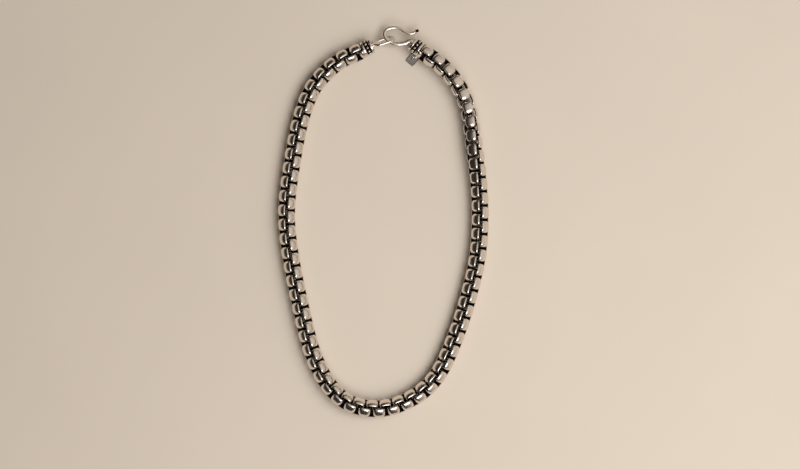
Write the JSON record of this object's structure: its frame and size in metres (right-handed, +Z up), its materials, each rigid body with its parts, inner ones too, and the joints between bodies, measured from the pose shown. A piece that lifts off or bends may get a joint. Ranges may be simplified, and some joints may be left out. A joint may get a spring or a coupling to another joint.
{
  "type": "chain necklace",
  "caption": "Chunky rounded box chain necklace, closed by a hook and a long wire eye between beaded end caps, with a small plain square tag.",
  "frame": {"origin": "centre of the closed necklace's outline, on the surface it lies on", "axes": "+Z up from the surface, +Y towards the clasp at the back of the neck, +X towards the hook's end"},
  "size_m": [0.1081, 0.2015, 0.0095],
  "materials": {
    "polished_silver": "polished, dark in the recesses",
    "oxidised_silver": "dark polished",
    "bead_silver": "bright polished",
    "brushed_silver": "fine brushed"
  },
  "bodies": {
    "front": {"chain_run_21": "polished_silver"},
    "run_01": {"chain_run_01": "polished_silver"},
    "run_02": {"chain_run_02": "polished_silver"},
    "run_03": {"chain_run_03": "polished_silver"},
    "run_04": {"chain_run_04": "polished_silver"},
    "run_05": {"chain_run_05": "polished_silver"},
    "run_06": {"chain_run_06": "polished_silver"},
    "run_07": {"chain_run_07": "polished_silver"},
    "run_08": {"chain_run_08": "polished_silver"},
    "run_09": {"chain_run_09": "polished_silver"},
    "run_10": {"chain_run_10": "polished_silver"},
    "run_11": {"chain_run_11": "polished_silver"},
    "run_12": {"chain_run_12": "polished_silver"},
    "run_13": {"chain_run_13": "polished_silver"},
    "run_14": {"chain_run_14": "polished_silver"},
    "run_15": {"chain_run_15": "polished_silver"},
    "run_16": {"chain_run_16": "polished_silver"},
    "run_17": {"chain_run_17": "polished_silver"},
    "run_18": {"chain_run_18": "polished_silver"},
    "run_19": {"chain_run_19": "polished_silver"},
    "run_20": {"chain_run_20": "polished_silver"},
    "run_22": {"chain_run_22": "polished_silver"},
    "run_23": {"chain_run_23": "polished_silver"},
    "run_24": {"chain_run_24": "polished_silver"},
    "run_25": {"chain_run_25": "polished_silver"},
    "run_26": {"chain_run_26": "polished_silver"},
    "run_27": {"chain_run_27": "polished_silver"},
    "run_28": {"chain_run_28": "polished_silver"},
    "run_29": {"chain_run_29": "polished_silver"},
    "run_30": {"chain_run_30": "polished_silver"},
    "run_31": {"chain_run_31": "polished_silver"},
    "run_32": {"chain_run_32": "polished_silver"},
    "run_33": {"chain_run_33": "polished_silver"},
    "run_34": {"chain_run_34": "polished_silver"},
    "run_35": {"chain_run_35": "polished_silver"},
    "run_36": {"chain_run_36": "polished_silver"},
    "run_37": {"chain_run_37": "polished_silver"},
    "run_38": {"chain_run_38": "polished_silver"},
    "run_39": {"chain_run_39": "polished_silver"},
    "run_40": {"chain_run_40": "polished_silver"},
    "eye_clasp": {"eye_end_cap": "polished_silver", "eye_bead_ring": "bead_silver", "clasp_eye": "polished_silver"},
    "hook_clasp": {"hook_end_cap": "polished_silver", "hook_bead_ring": "bead_silver", "clasp_hook": "polished_silver", "hook_ball": "oxidised_silver"},
    "tag": {"hang_tag": "brushed_silver"}
  },
  "joints": [
    {"name": "front_lift", "type": "hinge", "parent": "front", "child": "run_20", "pos_m": [-0.00412, -0.09607, 0.00456], "axis": [-0.0344, -0.9994, 0.0002], "range_deg": [-5, 0]},
    {"name": "back_lift_01_eye_side", "type": "hinge", "parent": "run_20", "child": "run_19", "pos_m": [-0.01477, -0.0943, 0.00452], "axis": [1, 0, 0], "range_deg": [0, 9]},
    {"name": "back_lift_01_hook_side", "type": "hinge", "parent": "front", "child": "run_22", "pos_m": [0.00656, -0.0943, 0.00452], "axis": [1, 0, 0], "range_deg": [0, 9]},
    {"name": "back_lift_02_eye_side", "type": "hinge", "parent": "run_19", "child": "run_18", "pos_m": [-0.02391, -0.08913, 0.00443], "axis": [1, 0, 0], "range_deg": [0, 9]},
    {"name": "back_lift_02_hook_side", "type": "hinge", "parent": "run_22", "child": "run_23", "pos_m": [0.01634, -0.08913, 0.00443], "axis": [1, 0, 0], "range_deg": [0, 9]},
    {"name": "back_lift_03_eye_side", "type": "hinge", "parent": "run_18", "child": "run_17", "pos_m": [-0.03061, -0.08138, 0.00433], "axis": [1, 0, 0], "range_deg": [0, 9]},
    {"name": "back_lift_03_hook_side", "type": "hinge", "parent": "run_23", "child": "run_24", "pos_m": [0.02462, -0.08138, 0.00433], "axis": [1, 0, 0], "range_deg": [0, 9]},
    {"name": "back_lift_04_eye_side", "type": "hinge", "parent": "run_17", "child": "run_16", "pos_m": [-0.03536, -0.07203, 0.00428], "axis": [1, 0, 0], "range_deg": [0, 9]},
    {"name": "back_lift_04_hook_side", "type": "hinge", "parent": "run_24", "child": "run_25", "pos_m": [0.03073, -0.07203, 0.00428], "axis": [1, 0, 0], "range_deg": [0, 9]},
    {"name": "back_lift_05_eye_side", "type": "hinge", "parent": "run_16", "child": "run_15", "pos_m": [-0.03871, -0.06192, 0.00427], "axis": [1, 0, 0], "range_deg": [0, 9]},
    {"name": "back_lift_05_hook_side", "type": "hinge", "parent": "run_25", "child": "run_26", "pos_m": [0.03517, -0.06192, 0.00427], "axis": [1, 0, 0], "range_deg": [0, 9]},
    {"name": "back_lift_06_eye_side", "type": "hinge", "parent": "run_11", "child": "run_10", "pos_m": [-0.04919, -0.00915, 0.00427], "axis": [1, 0, 0], "range_deg": [0, 9]},
    {"name": "back_lift_06_hook_side", "type": "hinge", "parent": "run_30", "child": "run_31", "pos_m": [0.04912, -0.00915, 0.00427], "axis": [1, 0, 0], "range_deg": [0, 9]},
    {"name": "back_lift_07_eye_side", "type": "hinge", "parent": "run_04", "child": "run_03", "pos_m": [-0.03687, 0.06563, 0.00444], "axis": [1, 0, 0], "range_deg": [0, 9]},
    {"name": "back_lift_07_hook_side", "type": "hinge", "parent": "run_37", "child": "run_38", "pos_m": [0.04165, 0.06563, 0.00444], "axis": [1, 0, 0], "range_deg": [0, 9]},
    {"name": "back_lift_08_eye_side", "type": "hinge", "parent": "run_03", "child": "run_02", "pos_m": [-0.03026, 0.07463, 0.00453], "axis": [1, 0, 0], "range_deg": [0, 9]},
    {"name": "back_lift_08_hook_side", "type": "hinge", "parent": "run_38", "child": "run_39", "pos_m": [0.03634, 0.07463, 0.00453], "axis": [1, 0, 0], "range_deg": [0, 9]},
    {"name": "back_lift_09_eye_side", "type": "hinge", "parent": "run_02", "child": "run_01", "pos_m": [-0.02189, 0.08204, 0.00451], "axis": [1, 0, 0], "range_deg": [0, 9]},
    {"name": "back_lift_09_hook_side", "type": "hinge", "parent": "run_39", "child": "run_40", "pos_m": [0.02895, 0.08204, 0.00451], "axis": [1, 0, 0], "range_deg": [0, 9]},
    {"name": "back_lift_10_eye_side", "type": "hinge", "parent": "run_01", "child": "eye_clasp", "pos_m": [-0.01207, 0.0875, 0.00445], "axis": [1, 0, 0], "range_deg": [0, 6]},
    {"name": "back_lift_10_hook_side", "type": "hinge", "parent": "run_40", "child": "hook_clasp", "pos_m": [0.02017, 0.0875, 0.00445], "axis": [1, 0, 0], "range_deg": [0, 6]},
    {"name": "sway_1_eye_side_front", "type": "hinge", "parent": "run_15", "child": "run_14", "pos_m": [-0.04128, -0.04942, 0.00424], "axis": [0, 0, 1], "range_deg": [-9, 9]},
    {"name": "sway_1_eye_side_back", "type": "hinge", "parent": "run_14", "child": "run_13", "pos_m": [-0.04364, -0.03881, 0.00424], "axis": [0, 0, 1], "range_deg": [-9, 9]},
    {"name": "sway_1_hook_side_front", "type": "hinge", "parent": "run_33", "child": "run_34", "pos_m": [0.04883, 0.02097, 0.00444], "axis": [0, 0, 1], "range_deg": [-9, 9]},
    {"name": "sway_1_hook_side_back", "type": "hinge", "parent": "run_34", "child": "run_35", "pos_m": [0.04761, 0.03176, 0.00464], "axis": [0, 0, 1], "range_deg": [-9, 9]},
    {"name": "sway_2_eye_side_front", "type": "hinge", "parent": "run_13", "child": "run_12", "pos_m": [-0.04585, -0.02818, 0.00424], "axis": [0, 0, -1], "range_deg": [-9, 9]},
    {"name": "sway_2_eye_side_back", "type": "hinge", "parent": "run_12", "child": "run_11", "pos_m": [-0.04777, -0.01749, 0.00424], "axis": [0, 0, -1], "range_deg": [-9, 9]},
    {"name": "sway_2_hook_side_front", "type": "hinge", "parent": "run_35", "child": "run_36", "pos_m": [0.04623, 0.04253, 0.00474], "axis": [0, 0, -1], "range_deg": [-9, 9]},
    {"name": "sway_2_hook_side_back", "type": "hinge", "parent": "run_36", "child": "run_37", "pos_m": [0.04472, 0.05328, 0.00468], "axis": [0, 0, -1], "range_deg": [-9, 9]},
    {"name": "sway_3_eye_side_front", "type": "hinge", "parent": "run_10", "child": "run_09", "pos_m": [-0.04977, 0.00411, 0.00424], "axis": [0, 0, 1], "range_deg": [-9, 9]},
    {"name": "sway_3_eye_side_back", "type": "hinge", "parent": "run_09", "child": "run_08", "pos_m": [-0.0491, 0.01494, 0.00425], "axis": [0, 0, 1], "range_deg": [-9, 9]},
    {"name": "sway_3_hook_side_front", "type": "hinge", "parent": "run_31", "child": "run_32", "pos_m": [0.04967, -0.00072, 0.00432], "axis": [0, 0, 1], "range_deg": [-9, 9]},
    {"name": "sway_3_hook_side_back", "type": "hinge", "parent": "run_32", "child": "run_33", "pos_m": [0.04958, 0.01013, 0.00433], "axis": [0, 0, 1], "range_deg": [-9, 9]},
    {"name": "sway_4_eye_side_front", "type": "hinge", "parent": "run_08", "child": "run_07", "pos_m": [-0.04766, 0.02571, 0.00426], "axis": [0, 0, -1], "range_deg": [-9, 9]},
    {"name": "sway_4_eye_side_back", "type": "hinge", "parent": "run_07", "child": "run_06", "pos_m": [-0.04591, 0.03643, 0.00427], "axis": [0, 0, -1], "range_deg": [-9, 9]},
    {"name": "sway_4_hook_side_front", "type": "hinge", "parent": "run_26", "child": "run_27", "pos_m": [0.03902, -0.05372, 0.00426], "axis": [0, 0, -1], "range_deg": [-9, 9]},
    {"name": "sway_4_hook_side_back", "type": "hinge", "parent": "run_27", "child": "run_28", "pos_m": [0.04231, -0.04337, 0.00425], "axis": [0, 0, -1], "range_deg": [-9, 9]},
    {"name": "sway_5_eye_side_front", "type": "hinge", "parent": "run_06", "child": "run_05", "pos_m": [-0.04387, 0.04709, 0.00428], "axis": [0, 0, 1], "range_deg": [-9, 9]},
    {"name": "sway_5_eye_side_back", "type": "hinge", "parent": "run_05", "child": "run_04", "pos_m": [-0.041, 0.05756, 0.0043], "axis": [0, 0, 1], "range_deg": [-9, 9]},
    {"name": "sway_5_hook_side_front", "type": "hinge", "parent": "run_28", "child": "run_29", "pos_m": [0.0452, -0.03291, 0.00427], "axis": [0, 0, 1], "range_deg": [-9, 9]},
    {"name": "sway_5_hook_side_back", "type": "hinge", "parent": "run_29", "child": "run_30", "pos_m": [0.04761, -0.02232, 0.00429], "axis": [0, 0, 1], "range_deg": [-9, 9]},
    {"name": "tag_swing", "type": "hinge", "parent": "hook_clasp", "child": "tag", "pos_m": [0.01538, 0.08483, 0.00175], "axis": [-0.7547, 0.6561, 0], "range_deg": [0, 80]}
  ],
  "couplings": [
    {"joint": "back_lift_01_hook_side", "follows": "back_lift_01_eye_side", "ratio": 1},
    {"joint": "back_lift_02_hook_side", "follows": "back_lift_02_eye_side", "ratio": 1},
    {"joint": "back_lift_03_hook_side", "follows": "back_lift_03_eye_side", "ratio": 1},
    {"joint": "back_lift_04_hook_side", "follows": "back_lift_04_eye_side", "ratio": 1},
    {"joint": "back_lift_05_hook_side", "follows": "back_lift_05_eye_side", "ratio": 1},
    {"joint": "back_lift_06_hook_side", "follows": "back_lift_06_eye_side", "ratio": 1},
    {"joint": "back_lift_07_hook_side", "follows": "back_lift_07_eye_side", "ratio": 1},
    {"joint": "back_lift_08_hook_side", "follows": "back_lift_08_eye_side", "ratio": 1},
    {"joint": "back_lift_09_hook_side", "follows": "back_lift_09_eye_side", "ratio": 1},
    {"joint": "back_lift_10_hook_side", "follows": "back_lift_10_eye_side", "ratio": 1},
    {"joint": "sway_1_eye_side_back", "follows": "sway_1_eye_side_front", "ratio": -1},
    {"joint": "sway_1_hook_side_front", "follows": "sway_1_eye_side_front", "ratio": 1},
    {"joint": "sway_1_hook_side_back", "follows": "sway_1_eye_side_front", "ratio": -1},
    {"joint": "sway_2_eye_side_back", "follows": "sway_2_eye_side_front", "ratio": -1},
    {"joint": "sway_2_hook_side_front", "follows": "sway_2_eye_side_front", "ratio": 1},
    {"joint": "sway_2_hook_side_back", "follows": "sway_2_eye_side_front", "ratio": -1},
    {"joint": "sway_3_eye_side_back", "follows": "sway_3_eye_side_front", "ratio": -1},
    {"joint": "sway_3_hook_side_front", "follows": "sway_3_eye_side_front", "ratio": 1},
    {"joint": "sway_3_hook_side_back", "follows": "sway_3_eye_side_front", "ratio": -1},
    {"joint": "sway_4_eye_side_back", "follows": "sway_4_eye_side_front", "ratio": -1},
    {"joint": "sway_4_hook_side_front", "follows": "sway_4_eye_side_front", "ratio": 1},
    {"joint": "sway_4_hook_side_back", "follows": "sway_4_eye_side_front", "ratio": -1},
    {"joint": "sway_5_eye_side_back", "follows": "sway_5_eye_side_front", "ratio": -1},
    {"joint": "sway_5_hook_side_front", "follows": "sway_5_eye_side_front", "ratio": 1},
    {"joint": "sway_5_hook_side_back", "follows": "sway_5_eye_side_front", "ratio": -1}
  ]
}
